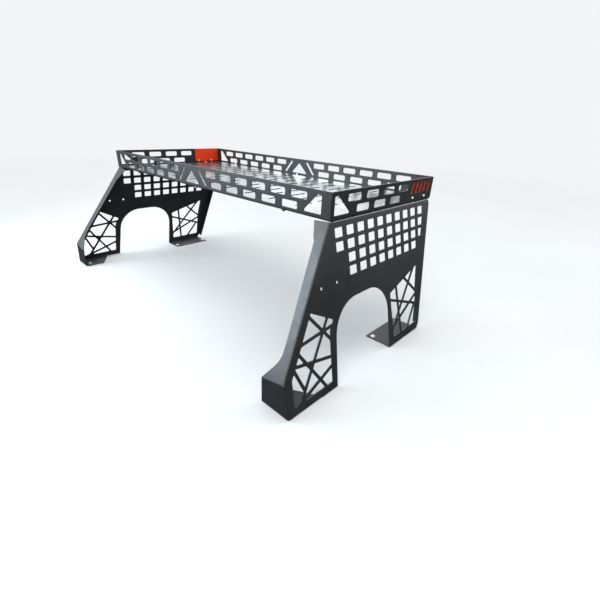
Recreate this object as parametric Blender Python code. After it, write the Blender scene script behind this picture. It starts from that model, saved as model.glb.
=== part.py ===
"""A bed-mounted headache rack for a utility side-by-side: a cargo tray on two leaning side panels.

Frame: +X is the vehicle's right, +Y is forward (towards the cab), +Z is up. The origin is on the
ground plane under the feet, below the middle of the rack's whole width and length. All lengths are
in metres. Sheets are drawn with y = 0 below the middle of the tray, and TO_FRAME moves them.
"""

from math import cos, pi, radians, sin, tan

import bmesh
import bpy
from mathutils import Matrix, Vector

# ---- driving dimensions -------------------------------------------------------------------
TRAY_WIDTH = 1.260
TRAY_DEPTH = 0.548
RAIL_HEIGHT = 0.0715
SIDE_LEAN = radians(13.0)
SIDE_SLANT = 0.447
SHEET = 0.003
BEND_INNER = 0.0015
GAP = 0.0003

# ---- side panel, measured along Y and down the slope from the tray --------------------------
REAR_TOP_Y = -TRAY_DEPTH / 2
FRONT_TOP_Y = TRAY_DEPTH / 2
REAR_FOOT_Y = -0.500
FRONT_FOOT_Y = 0.165
KNEE_DROP = 0.347
REAR_LEG_END = -0.307
REAR_FOOT_END = -0.376
REAR_FOOT_CHAMFER = -0.422
FRONT_LEG_START = -0.030
ARCH_TOP_DROP = 0.214
ARCH_RADIUS = 0.100
TOP_FLANGE = 0.040
FOOT_FLANGE = 0.097
FRONT_FLANGE = 0.022
SLOPE_WIDTHS = ((0.036, 0.042), (0.051, 0.035), (0.310, 0.030), (0.345, 0.031), (0.362, 0.037))
KNEE_GAP = 0.0022
KNEE_FLANGE_END = 0.026
BAR_WIDTH = 0.009
CELL_AREA = 6e-5
GRID_HOLE = (0.033, 0.025)
GRID_PITCH = (0.0491, 0.0364)
GRID_START = (-0.241, 0.0304)
GRID_ROWS = ((0, 10), (0, 10), (1, 10), (1, 9))

# ---- tray -----------------------------------------------------------------------------------
RAIL_FLANGE = 0.026
SLOT = (0.060, 0.020)
SLOT_RADIUS = 0.006
UPPER_ROW = 0.051
LOWER_ROW = 0.0205
FLOOR_SLOT = (0.014, 0.065)
FLOOR_PITCH = (0.058, 0.095)
BADGE_SIZE = (0.141, 0.061)
BADGE_CENTRE = (0.1975, 0.0405)

# ---- fasteners: widths of the head, of its six-sided socket and of the nut across its flats ----
M6 = {"radius": 0.0030, "head": 0.0105, "rise": 0.0033, "socket": 0.004, "depth": 0.0020, "nut": 0.010}
M8 = {"radius": 0.0040, "head": 0.0140, "rise": 0.0044, "socket": 0.005, "depth": 0.0026}
NUT_HEIGHT = 0.0055
BOLT_INSET = 0.015
FOOT_BOLT_INSET = 0.076
FOOT_BOLTS_Y = {"rear": (-0.478,), "front": (-0.017, 0.140)}
SIDE_BOLTS_Y = (-0.180, 0.0, 0.180)
RAIL_BOLTS_X = (-0.450, 0.0, 0.450)
BADGE_BOLTS = ((0.143, 0.0131), (0.220, 0.0131))
WASHER_THICKNESS = 0.0016
WASHER_RADIUS = 0.0085

# ---- fineness ---------------------------------------------------------------------------------
CORNER_STEPS = 1
ARCH_STEPS = 5
BEND_STEPS = 2
ROUND_SIDES = 12

BEND_OUTER = BEND_INNER + SHEET
BEND_MIDDLE = BEND_INNER + SHEET / 2
TRAY_BASE = SIDE_SLANT * cos(SIDE_LEAN)
FOOT_HALF_WIDTH = TRAY_WIDTH / 2 + SIDE_SLANT * sin(SIDE_LEAN)
FLOOR_BASE = TRAY_BASE + GAP + SHEET + GAP
HALF_TURN = Matrix.Rotation(pi, 4, "Z")
TO_FRAME = Matrix.Translation((0, -(REAR_FOOT_Y + FRONT_TOP_Y) / 2, 0))


# ---- outlines -----------------------------------------------------------------------------------
def rounded(corners, radius, steps=CORNER_STEPS):
    """The closed outline through the corners, each turned into an arc.

    A corner may carry its own radius as a third value.
    """
    outline = []
    count = len(corners)
    for i, corner in enumerate(corners):
        here = Vector(corner[:2])
        before = Vector(corners[i - 1][:2]) - here
        after = Vector(corners[(i + 1) % count][:2]) - here
        bend = radius if len(corner) == 2 else corner[2]
        half = before.angle(after) / 2
        if bend == 0 or half > radians(88):
            outline.append(here)
            continue
        reach = min(bend / tan(half), before.length * 0.48, after.length * 0.48)
        size = reach * tan(half)
        centre = here + (before.normalized() + after.normalized()).normalized() * size / sin(half)
        first = here + before.normalized() * reach - centre
        last = here + after.normalized() * reach - centre
        turn = first.angle_signed(last)
        outline += [centre + Matrix.Rotation(-turn * k / steps, 2) @ first for k in range(steps + 1)]
    return outline


def rectangle(centre, size, radius, steps=CORNER_STEPS):
    (u, v), (w, h) = centre, size
    corners = [(u + a * w / 2, v + b * h / 2) for a, b in ((-1, -1), (1, -1), (1, 1), (-1, 1))]
    return rounded(corners, radius, steps)


def circle(centre, radius):
    turns = [2 * pi * k / ROUND_SIDES for k in range(ROUND_SIDES)]
    return [Vector((centre[0] + radius * cos(t), centre[1] + radius * sin(t))) for t in turns]


def mirrored_outline(outline):
    return [Vector((-p[0], p[1])) for p in reversed(outline)]


def split(cell, point, along, offset):
    """The part of a polygon that lies more than offset to the left of a line."""
    left = Vector((-along[1], along[0]))
    kept = []
    for i, b in enumerate(cell):
        a = cell[i - 1]
        da = (a - point).dot(left) - offset
        db = (b - point).dot(left) - offset
        if (da > 0) != (db > 0):
            kept.append(a.lerp(b, da / (da - db)))
        if db > 0:
            kept.append(b)
    return kept


def area(cell):
    return abs(sum(cell[i - 1].cross(p) for i, p in enumerate(cell))) / 2


def inset(cell, point, along):
    """How far along a line the polygon starts and ends, or None where the line misses it."""
    left = Vector((-along[1], along[0]))
    marks = []
    for i, b in enumerate(cell):
        a = cell[i - 1]
        da, db = (a - point).dot(left), (b - point).dot(left)
        if (da > 0) != (db > 0):
            marks.append((a.lerp(b, da / (da - db)) - point).dot(along))
    return (min(marks), max(marks)) if marks else None


def lattice(window, bars):
    """The openings left in a window once straight bars of BAR_WIDTH cross it."""
    cells = [[Vector(p) for p in window]]
    for start, end in bars:
        point = Vector(start)
        along = (Vector(end) - point).normalized()
        length = (Vector(end) - point).length
        parts = []
        for cell in cells:
            span = inset(cell, point, along)
            middle = sum(span) / 2 if span else -1
            if not 0 < middle < length:
                parts.append(cell)
                continue
            parts.append(split(cell, point, along, BAR_WIDTH / 2))
            parts.append(split(cell, point, -along, BAR_WIDTH / 2))
        cells = [cell for cell in parts if len(cell) > 2 and area(cell) > CELL_AREA]
    return [rounded(cell, 0.002) for cell in cells]


# ---- bent sheet -----------------------------------------------------------------------------------
class Bend:
    """A flange folded inwards along a straight outer edge of a plate.

    apex and along give the edge where the outer faces would meet, out points away from the plate,
    angle is how far the flange turns, and start and end bound it along the edge.
    """

    def __init__(self, apex, along, out, angle, start, end):
        self.apex = Vector(apex)
        self.along = Vector(along).normalized()
        self.out = Vector(out).normalized()
        self.angle = angle
        self.start = start
        self.end = end
        self.setback = BEND_OUTER * tan(angle / 2)
        self.arc = angle * BEND_MIDDLE
        self.root = self.apex - self.out * self.setback

    def flat(self, a, width=None):
        """A point of the flat pattern: on the bend line, or where a flange of this width ends."""
        reach = 0 if width is None else width - self.setback + self.arc
        return self.root + self.along * a + self.out * reach

    def holds(self, co):
        a = (co.xy - self.root).dot(self.along)
        d = (co.xy - self.root).dot(self.out)
        return d > 1e-6 and self.start - 1e-5 < a < self.end + 1e-5

    def folded(self, co):
        a = (co.xy - self.root).dot(self.along)
        d = (co.xy - self.root).dot(self.out)
        turn = min(d / BEND_MIDDLE, self.angle)
        spare = max(0.0, d - self.arc)
        ring = BEND_OUTER + co.z
        out = ring * sin(turn) + spare * cos(turn)
        depth = -BEND_OUTER + ring * cos(turn) - spare * sin(turn)
        place = self.root + self.along * a + self.out * out
        return Vector((place[0], place[1], depth))


def plate(outline, holes, thickness=SHEET):
    """A flat sheet from 2D outlines, its outer face at z = 0 and its body below."""
    curve = bpy.data.curves.new("outline", "CURVE")
    curve.dimensions = "2D"
    curve.fill_mode = "BOTH"
    curve.extrude = thickness / 2
    for loop in [outline, *holes]:
        spline = curve.splines.new("POLY")
        spline.points.add(len(loop) - 1)
        for point, (u, v) in zip(spline.points, loop):
            point.co = (u, v, 0, 1)
        spline.use_cyclic_u = True
    drawn = bpy.data.objects.new("outline", curve)
    bpy.context.scene.collection.objects.link(drawn)
    solid = drawn.evaluated_get(bpy.context.evaluated_depsgraph_get())
    mesh = bpy.data.meshes.new_from_object(solid)
    bpy.data.objects.remove(drawn)
    bpy.data.curves.remove(curve)
    bm = bmesh.new()
    bm.from_mesh(mesh)
    bpy.data.meshes.remove(mesh)
    bmesh.ops.remove_doubles(bm, verts=bm.verts, dist=1e-6)
    bmesh.ops.translate(bm, verts=bm.verts, vec=(0, 0, -thickness / 2))
    return bm


def bent_sheet(outline, holes, bends):
    """A flat pattern cut from sheet, then folded along each of its bends."""
    bm = plate(outline, holes)
    for bend in bends:
        for k in range(BEND_STEPS + 1):
            faces = [f for f in bm.faces if any(bend.holds(v.co) for v in f.verts)]
            edges = {e for f in faces for e in f.edges}
            verts = {v for f in faces for v in f.verts}
            cut = bend.root + bend.out * bend.arc * k / BEND_STEPS
            bmesh.ops.bisect_plane(
                bm,
                geom=[*verts, *edges, *faces],
                dist=1e-7,
                plane_co=cut.to_3d(),
                plane_no=bend.out.to_3d(),
            )
    moves = [(v, bend.folded(v.co)) for v in bm.verts for bend in bends if bend.holds(v.co)]
    for vert, place in moves:
        vert.co = place
    return bm


def mirrored(bm):
    """The other-handed twin of a sheet, its length axis reversed."""
    twin = bm.copy()
    for vert in twin.verts:
        vert.co.x = -vert.co.x
    bmesh.ops.reverse_faces(twin, faces=twin.faces)
    return twin


# ---- objects --------------------------------------------------------------------------------------
def material(name, colour, metallic, roughness):
    made = bpy.data.materials.new(name)
    made.use_nodes = True
    shader = made.node_tree.nodes["Principled BSDF"]
    shader.inputs["Base Color"].default_value = (*colour, 1)
    shader.inputs["Metallic"].default_value = metallic
    shader.inputs["Roughness"].default_value = roughness
    return made


def turn_outwards(bm):
    """Turns every face of a closed mesh outwards."""
    bmesh.ops.recalc_face_normals(bm, faces=bm.faces)
    if bm.calc_volume(signed=True) < 0:
        bmesh.ops.reverse_faces(bm, faces=bm.faces)


def part(name, bm, finish, place, smooth=False):
    """One named object from a mesh, in the rack's collection."""
    turn_outwards(bm)
    mesh = bpy.data.meshes.new(name)
    bm.to_mesh(mesh)
    mesh.materials.append(finish)
    if smooth:
        mesh.shade_smooth()
        mesh.set_sharp_from_angle(angle=radians(35))
    made = bpy.data.objects.new(name, mesh)
    made.matrix_world = TO_FRAME @ place
    bpy.data.collections["headache_rack"].objects.link(made)
    return made


def placement(origin, u_axis, v_axis):
    """The matrix that stands a sheet's own u, v and outward axes in the rack's frame."""
    u, v = Vector(u_axis), Vector(v_axis)
    axes = Matrix((u, v, u.cross(v))).transposed()
    return Matrix.Translation(origin) @ axes.to_4x4()


# ---- side panels ----------------------------------------------------------------------------------
def drop(y, distance):
    """A point of the side panel at y, this far down the slope from the tray."""
    return Vector((y, SIDE_SLANT - distance))


def side_bends():
    rear_edge = drop(REAR_FOOT_Y, KNEE_DROP) - drop(REAR_TOP_Y, 0)
    front_edge = drop(FRONT_FOOT_Y, SIDE_SLANT) - drop(FRONT_TOP_Y, 0)
    rear_out = (rear_edge.y, -rear_edge.x)
    front_out = (-front_edge.y, front_edge.x)
    slope_end = rear_edge.length - KNEE_GAP
    down = Vector((0, -1))
    foot_turn = pi / 2 + SIDE_LEAN
    bottom = drop(0, SIDE_SLANT)
    return {
        "top": Bend(drop(0, 0), (1, 0), (0, 1), pi / 2 - SIDE_LEAN, -0.261, 0.263),
        "slope": Bend(drop(REAR_TOP_Y, 0), rear_edge, rear_out, pi / 2, -0.010, slope_end),
        "knee": Bend(drop(REAR_FOOT_Y, KNEE_DROP), down, (-1, 0), pi / 2, KNEE_GAP, 0.096),
        "rear_foot": Bend(bottom, (1, 0), down, foot_turn, -0.490, REAR_FOOT_END),
        "front_foot": Bend(bottom, (1, 0), down, foot_turn, FRONT_LEG_START + 0.002, 0.156),
        "front": Bend(drop(FRONT_TOP_Y, 0), front_edge, front_out, pi / 2, 0.014, 0.440),
    }


def flange(bend, widths):
    """The flat pattern of one flange: its two ends on the bend line and its free edge between them."""
    free = [bend.flat(a, width) for a, width in widths]
    return [bend.flat(widths[0][0]), *free, bend.flat(widths[-1][0])]


def side_outline(bends):
    """The flat pattern's outer edge, from the top flange round by the rear leg to the front edge."""
    top, slope, knee = bends["top"], bends["slope"], bends["knee"]
    rear_foot, front_foot, front = bends["rear_foot"], bends["front_foot"], bends["front"]
    bottom = Vector((0, 0.0015))
    knee_top = KNEE_DROP * tan(SIDE_LEAN)
    knee_end = (SIDE_SLANT - KNEE_FLANGE_END) * tan(SIDE_LEAN)
    points = flange(top, ((top.end, TOP_FLANGE), (top.start, TOP_FLANGE)))
    points.append(Vector((top.start - 0.0005, top.root.y - 0.001)))
    points.append(Vector((top.start - 0.005, SIDE_SLANT - GAP)))
    points.append(slope.flat(0))
    points.append(slope.flat(-0.0005, BEND_OUTER))
    widths = ((-0.0085, 0.055), *SLOPE_WIDTHS, (0.376, 0.047), (slope.end, knee_top))
    points += flange(slope, widths)[1:]
    points.append(knee.flat(0) + Vector((KNEE_GAP, 0)))
    foot_rise = knee_end * tan(SIDE_LEAN)
    knee_widths = ((knee.start, knee_top), (knee.end - foot_rise, knee_end), (knee.end, 0))
    points += flange(knee, knee_widths)[:-1]
    points.append(Vector((rear_foot.start - 0.0015, rear_foot.root.y + 0.001)))
    points.append(rear_foot.flat(rear_foot.start))
    points.append(rear_foot.flat(rear_foot.start, FOOT_FLANGE))
    points.append(rear_foot.flat(REAR_FOOT_CHAMFER, FOOT_FLANGE))
    points.append(rear_foot.flat(rear_foot.end, 0.012))
    points.append(rear_foot.flat(rear_foot.end))
    points += [Vector((REAR_FOOT_END + 0.002, bottom.y)), Vector((REAR_LEG_END, bottom.y))]
    points += arch()
    points.append(Vector((FRONT_LEG_START, bottom.y)))
    points.append(front_foot.flat(front_foot.start) - Vector((0.001, 0)))
    points += flange(front_foot, ((front_foot.start, FOOT_FLANGE), (front_foot.end, FOOT_FLANGE)))
    points.append(front.flat(front.end + 0.002))
    points += flange(front, ((front.end, FRONT_FLANGE), (front.start, FRONT_FLANGE)))
    points.append(Vector((top.end + 0.001, top.root.y - 0.004)))
    return points


def arch():
    """The wheel-arch shaped opening between the legs, from the rear leg's foot to the front leg's."""
    corners = [
        (REAR_LEG_END, 0.0015, 0),
        (-0.281, SIDE_SLANT - ARCH_TOP_DROP, ARCH_RADIUS),
        (-0.026, SIDE_SLANT - ARCH_TOP_DROP, ARCH_RADIUS),
        (FRONT_LEG_START, 0.0015, 0),
    ]
    return rounded(corners, ARCH_RADIUS, ARCH_STEPS)[1:-1]


def grid_holes():
    holes = []
    for row, (first, last) in enumerate(GRID_ROWS):
        for column in range(first, last):
            y = GRID_START[0] + column * GRID_PITCH[0]
            centre = drop(y, GRID_START[1] + row * GRID_PITCH[1])
            holes.append(rectangle(centre, GRID_HOLE, 0.003))
    return holes


def leg_windows():
    """The two lattice windows: a seven-sided one in the rear leg, a five-sided one in the front leg."""
    rear = [(-0.379, 0.205), (-0.297, 0.250), (-0.312, 0.272), (-0.317, 0.301), (-0.325, 0.422)]
    rear += [(-0.474, 0.422), (-0.470, 0.348)]
    rear_bars = [
        ((-0.395, 0.202), (-0.306, 0.309)),
        ((-0.313, 0.225), (-0.455, 0.431)),
        ((-0.435, 0.274), (-0.290, 0.263)),
        ((-0.450, 0.272), (-0.342, 0.437)),
        ((-0.475, 0.315), (-0.300, 0.352)),
        ((-0.466, 0.309), (-0.431, 0.395)),
        ((-0.455, 0.422), (-0.305, 0.369)),
    ]
    front = [(-0.012, 0.263), (0.165, 0.211), (0.152, 0.290), (0.150, 0.415), (-0.002, 0.417)]
    front_bars = [
        ((0.025, 0.240), (0.047, 0.425)),
        ((0.153, 0.203), (-0.015, 0.400)),
        ((-0.020, 0.283), (0.165, 0.352)),
        ((0.066, 0.224), (0.168, 0.314)),
        ((0.160, 0.308), (-0.012, 0.387)),
        ((0.148, 0.336), (0.085, 0.421)),
    ]
    windows = lattice([drop(*p) for p in rear], [(drop(*a), drop(*b)) for a, b in rear_bars])
    windows += lattice([drop(*p) for p in front], [(drop(*a), drop(*b)) for a, b in front_bars])
    return windows


def side_holes(bends):
    holes = grid_holes() + leg_windows()
    holes += [circle(drop(y, 0.156), 0.0045) for y in (-0.330, -0.267)]
    holes += [circle(bends["top"].flat(y, BOLT_INSET), M6["radius"] + GAP) for y in SIDE_BOLTS_Y]
    for leg, places in FOOT_BOLTS_Y.items():
        bend = bends[leg + "_foot"]
        holes += [circle(bend.flat(y, FOOT_BOLT_INSET), M8["radius"] + GAP) for y in places]
    return holes


def side_panels(finish):
    bends = side_bends()
    right = bent_sheet(side_outline(bends), side_holes(bends), list(bends.values()))
    left = mirrored(right)
    place = placement((FOOT_HALF_WIDTH, 0, 0), (0, 1, 0), (-sin(SIDE_LEAN), 0, cos(SIDE_LEAN)))
    part("right_side_panel", right, finish, place)
    part("left_side_panel", left, finish, HALF_TURN @ place)


# ---- tray -----------------------------------------------------------------------------------------
def long_rail_holes():
    """Half the pattern of a long rail, then its mirror image: two rows of slots and an end triangle."""
    half = [rectangle((0.115 + 0.081 * k, UPPER_ROW), SLOT, SLOT_RADIUS) for k in range(6)]
    half += [rectangle((0.144 + 0.0855 * k, LOWER_ROW), SLOT, SLOT_RADIUS) for k in range(5)]
    half.append(rounded([(0.535, 0.012), (0.599, 0.012), (0.599, 0.060), (0.584, 0.060)], 0.003))
    half.append(rounded([(0.079, 0.012), (0.092, 0.012), (0.051, 0.060), (0.038, 0.060)], 0.003))
    middle = rounded([(-0.047, 0.012), (0.047, 0.012), (0, 0.055)], 0.003)
    return half + [mirrored_outline(loop) for loop in half] + [middle]


def side_rail_holes():
    holes = [rectangle((-0.175 + 0.084 * k, UPPER_ROW), SLOT, SLOT_RADIUS) for k in range(4)]
    holes += [rectangle((-0.133 + 0.084 * k, LOWER_ROW), SLOT, SLOT_RADIUS) for k in range(3)]
    holes.append(rounded([(-0.259, 0.012), (-0.191, 0.012), (-0.244, 0.060), (-0.259, 0.060)], 0.003))
    holes += [badge_bar(0.140 + 0.027 * k) for k in range(5)]
    holes += [circle(place, M6["radius"] + GAP) for place in BADGE_BOLTS]
    return holes


def badge_bar(y):
    """One plain slanted bar of the window that shows the coloured plate."""
    return rounded([(y - 0.012, 0.029), (y + 0.002, 0.029), (y + 0.012, 0.063), (y - 0.002, 0.063)], 0.002)


def rail(length, flange_end, holes, bolts):
    """An upright strip with a flange folded inwards along its foot, under the tray floor."""
    foot = Bend((0, 0), (1, 0), (0, -1), pi / 2, -flange_end, flange_end)
    end = length / 2
    corners = [(end, RAIL_HEIGHT, 0.003), (-end, RAIL_HEIGHT, 0.003), (-end, GAP, 0)]
    corners += [(-flange_end - 0.002, GAP, 0), (-flange_end - 0.001, foot.root.y, 0)]
    corners += [(*p, 0) for p in flange(foot, ((-flange_end, RAIL_FLANGE), (flange_end, RAIL_FLANGE)))]
    corners += [(flange_end + 0.001, foot.root.y, 0), (flange_end + 0.002, GAP, 0), (end, GAP, 0)]
    bores = [circle(foot.flat(u, BOLT_INSET), M6["radius"] + GAP) for u in bolts]
    return bent_sheet(rounded(corners, 0), holes + bores, [foot])


def rails(finish):
    base = TRAY_BASE + GAP
    rear = rail(TRAY_WIDTH, TRAY_WIDTH / 2 - 0.010, long_rail_holes(), RAIL_BOLTS_X)
    front = rear.copy()
    rear_place = placement((0, -TRAY_DEPTH / 2, base), (1, 0, 0), (0, 0, 1))
    part("rear_rail", rear, finish, rear_place)
    part("front_rail", front, finish, HALF_TURN @ rear_place)
    side_length = TRAY_DEPTH - 2 * (SHEET + GAP)
    right = rail(side_length, TRAY_DEPTH / 2 - RAIL_FLANGE - 0.004, side_rail_holes(), SIDE_BOLTS_Y)
    left = mirrored(right)
    right_place = placement((TRAY_WIDTH / 2, 0, base), (0, 1, 0), (0, 0, 1))
    part("right_rail", right, finish, right_place)
    part("left_rail", left, finish, HALF_TURN @ right_place)


def floor_holes():
    """Columns of lengthwise slots, each column set half a slot on from the last."""
    holes = []
    for column in range(-9, 10):
        shift = column % 2 * FLOOR_PITCH[1] / 2
        rows = range(-2, 3) if column % 2 == 0 else range(-2, 2)
        centres = [(column * FLOOR_PITCH[0], row * FLOOR_PITCH[1] + shift) for row in rows]
        holes += [rectangle(centre, FLOOR_SLOT, 0.0055) for centre in centres]
    return holes


def floor_bores():
    side_x = TRAY_WIDTH / 2 - BOLT_INSET
    rail_y = TRAY_DEPTH / 2 - BOLT_INSET
    places = [(s * side_x, y) for s in (-1, 1) for y in SIDE_BOLTS_Y]
    places += [(x, s * rail_y) for s in (-1, 1) for x in RAIL_BOLTS_X]
    return [circle(place, M6["radius"] + GAP) for place in places]


def tray_floor(finish):
    inset_all_round = BEND_OUTER + 2 * GAP
    size = (TRAY_WIDTH - 2 * inset_all_round, TRAY_DEPTH - 2 * inset_all_round)
    sheet = plate(rectangle((0, 0), size, 0.004), floor_holes() + floor_bores())
    part("tray_floor", sheet, finish, Matrix.Translation((0, 0, FLOOR_BASE + SHEET)))


def badge_plates(finish):
    """A plain coloured plate behind the slanted bars of each side rail."""
    holes = [circle(place, M6["radius"] + GAP) for place in BADGE_BOLTS]
    right = plate(rectangle(BADGE_CENTRE, BADGE_SIZE, 0.004), holes)
    left = mirrored(right)
    inner_face = TRAY_WIDTH / 2 - SHEET - GAP
    place = placement((inner_face, 0, TRAY_BASE + GAP), (0, 1, 0), (0, 0, 1))
    part("right_badge_plate", right, finish, place)
    part("left_badge_plate", left, finish, HALF_TURN @ place)


# ---- fasteners ------------------------------------------------------------------------------------
def ring(bm, radius, z, flats=False):
    """One ring of vertices, round or six-sided, where radius is half the distance across the flats."""
    verts = []
    for k in range(ROUND_SIDES):
        turn = 2 * pi * k / ROUND_SIDES
        off_flat = (turn + pi / 6) % (pi / 3) - pi / 6
        size = radius / cos(off_flat) if flats else radius
        verts.append(bm.verts.new((size * cos(turn), size * sin(turn), z)))
    return verts


def band(bm, lower, upper):
    for k in range(ROUND_SIDES):
        after = (k + 1) % ROUND_SIDES
        bm.faces.new((lower[k], lower[after], upper[after], upper[k]))


def bolt_mesh(size, shank):
    """A button-head socket screw, its head's underside at z = 0 and its shank below."""
    radius, head, rise = size["radius"], size["head"] / 2, size["rise"]
    bm = bmesh.new()
    rings = [ring(bm, radius, -shank), ring(bm, radius, 0), ring(bm, head, 0)]
    rings += [ring(bm, head * 0.94, rise * 0.45), ring(bm, head * 0.60, rise)]
    rings += [ring(bm, size["socket"] / 2, z, True) for z in (rise, rise - size["depth"])]
    for lower, upper in zip(rings, rings[1:]):
        band(bm, lower, upper)
    bm.faces.new(list(reversed(rings[0])))
    bm.faces.new(rings[-1])
    return bm


def collar_mesh(bore, outer, height, flats):
    """A washer or a nut: a round or six-sided collar from z = 0 up."""
    bm = bmesh.new()
    rings = [ring(bm, bore, 0), ring(bm, outer, 0, flats)]
    rings += [ring(bm, outer, height, flats), ring(bm, bore, height)]
    for lower, upper in zip(rings, rings[1:] + rings[:1]):
        band(bm, lower, upper)
    return bm


def nut_mesh(size):
    return collar_mesh(size["radius"] + GAP, size["nut"] / 2, NUT_HEIGHT, True)


def upright(x, y, z, turned=False):
    flip = Matrix.Rotation(pi, 4, "X") if turned else Matrix.Identity(4)
    return Matrix.Translation((x, y, z)) @ flip


def tray_fasteners(finish):
    """Bolts down through the floor: at the sides they also hold the panels' top flanges."""
    head_seat = FLOOR_BASE + SHEET + GAP
    side_shank = head_seat - (TRAY_BASE - SHEET) + GAP + NUT_HEIGHT + 0.002
    rail_shank = side_shank - SHEET - GAP
    for side, s in (("right", 1), ("left", -1)):
        x = s * (TRAY_WIDTH / 2 - BOLT_INSET)
        for number, y in enumerate(SIDE_BOLTS_Y, 1):
            name = f"{side}_tray_bolt_{number}"
            part(name, bolt_mesh(M6, side_shank), finish, upright(x, y, head_seat), True)
            seat = TRAY_BASE - SHEET - GAP
            part(name.replace("bolt", "nut"), nut_mesh(M6), finish, upright(x, y, seat, True), True)
    for side, s in (("rear", -1), ("front", 1)):
        y = s * (TRAY_DEPTH / 2 - BOLT_INSET)
        for number, x in enumerate(RAIL_BOLTS_X, 1):
            name = f"{side}_rail_bolt_{number}"
            part(name, bolt_mesh(M6, rail_shank), finish, upright(x, y, head_seat), True)
            seat = TRAY_BASE
            part(name.replace("bolt", "nut"), nut_mesh(M6), finish, upright(x, y, seat, True), True)


def badge_fasteners(finish):
    shank = 2 * (SHEET + GAP) + NUT_HEIGHT + 0.002
    for side, s in (("right", 1), ("left", -1)):
        outward = Matrix.Rotation(s * pi / 2, 4, "Y")
        for number, (y, height) in enumerate(BADGE_BOLTS, 1):
            z = TRAY_BASE + GAP + height
            head = Matrix.Translation((s * (TRAY_WIDTH / 2 + GAP), y, z)) @ outward
            part(f"{side}_badge_bolt_{number}", bolt_mesh(M6, shank), finish, head, True)
            inner = TRAY_WIDTH / 2 - 2 * SHEET - 2 * GAP
            nut = Matrix.Translation((s * (inner - NUT_HEIGHT), y, z)) @ outward
            part(f"{side}_badge_nut_{number}", nut_mesh(M6), finish, nut, True)


def foot_fasteners(finish):
    """Bolts and washers that hold the feet down. Each shank ends inside its foot."""
    washer_seat = SHEET + GAP
    head_seat = washer_seat + WASHER_THICKNESS + GAP
    for side, s in (("right", 1), ("left", -1)):
        x = s * (FOOT_HALF_WIDTH - FOOT_BOLT_INSET)
        for leg, places in FOOT_BOLTS_Y.items():
            for number, y in enumerate(places, 1):
                end = f"{side}_{leg}_foot"
                bolt = bolt_mesh(M8, head_seat - GAP)
                washer = collar_mesh(M8["radius"] + GAP, WASHER_RADIUS, WASHER_THICKNESS, False)
                part(f"{end}_bolt_{number}", bolt, finish, upright(x, y, head_seat), True)
                part(f"{end}_washer_{number}", washer, finish, upright(x, y, washer_seat), True)


# ---- the rack ---------------------------------------------------------------------------------------
def build():
    for leftover in list(bpy.data.objects):
        bpy.data.objects.remove(leftover)
    rack = bpy.data.collections.new("headache_rack")
    bpy.context.scene.collection.children.link(rack)
    powder = material("black_powder_coat", (0.035, 0.038, 0.041), 0.1, 0.42)
    floor_powder = material("gloss_black_powder_coat", (0.030, 0.033, 0.036), 0.1, 0.22)
    orange = material("orange_powder_coat", (0.55, 0.05, 0.008), 0.0, 0.45)
    zinc = material("bright_zinc", (0.62, 0.63, 0.65), 1.0, 0.30)
    side_panels(powder)
    rails(powder)
    tray_floor(floor_powder)
    badge_plates(orange)
    tray_fasteners(zinc)
    badge_fasteners(zinc)
    foot_fasteners(zinc)


build()
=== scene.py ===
"""The looks of a bed-mounted headache rack: its fine shapes and finishes, the studio and the camera.

Frame: +X is the vehicle's right, +Y is forward (towards the cab), +Z is up. Lengths are in metres.
"""

from math import cos, pi, radians, sin, tan

import bmesh
import bpy
from mathutils import Euler, Matrix, Vector


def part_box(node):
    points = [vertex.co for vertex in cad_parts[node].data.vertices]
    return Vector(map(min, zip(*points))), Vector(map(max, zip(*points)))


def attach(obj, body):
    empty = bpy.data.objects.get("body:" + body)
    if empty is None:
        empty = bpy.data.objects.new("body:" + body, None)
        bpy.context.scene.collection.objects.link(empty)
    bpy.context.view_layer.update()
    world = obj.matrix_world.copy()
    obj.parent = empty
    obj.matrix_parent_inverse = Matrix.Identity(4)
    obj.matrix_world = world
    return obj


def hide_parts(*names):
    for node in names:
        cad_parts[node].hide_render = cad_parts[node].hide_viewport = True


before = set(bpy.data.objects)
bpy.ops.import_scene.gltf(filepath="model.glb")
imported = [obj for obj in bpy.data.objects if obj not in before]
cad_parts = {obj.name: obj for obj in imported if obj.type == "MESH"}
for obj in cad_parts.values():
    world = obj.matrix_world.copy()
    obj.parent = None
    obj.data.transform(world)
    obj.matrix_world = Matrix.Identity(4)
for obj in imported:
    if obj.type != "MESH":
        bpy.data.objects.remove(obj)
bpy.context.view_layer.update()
REAR_RAIL_LOW, REAR_RAIL_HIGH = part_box("rear_rail")
FRONT_RAIL_LOW, FRONT_RAIL_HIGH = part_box("front_rail")

# ---- driving dimensions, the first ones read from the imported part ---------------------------
TRAY_WIDTH = REAR_RAIL_HIGH.x - REAR_RAIL_LOW.x
TRAY_DEPTH = FRONT_RAIL_HIGH.y - REAR_RAIL_LOW.y
TRAY_MIDDLE = (FRONT_RAIL_HIGH.y + REAR_RAIL_LOW.y) / 2
SIDE_LEAN = radians(13.0)
SIDE_SLANT = 0.447
SHEET = 0.003
BEND_INNER = 0.0015
GAP = 0.0003
TOLERANCE = 1e-6
RELIEF = 0.001
RAIL_HEIGHT = 0.0715
CUT_CORNER = 0.003
PLATE_CORNER = 0.004

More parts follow.
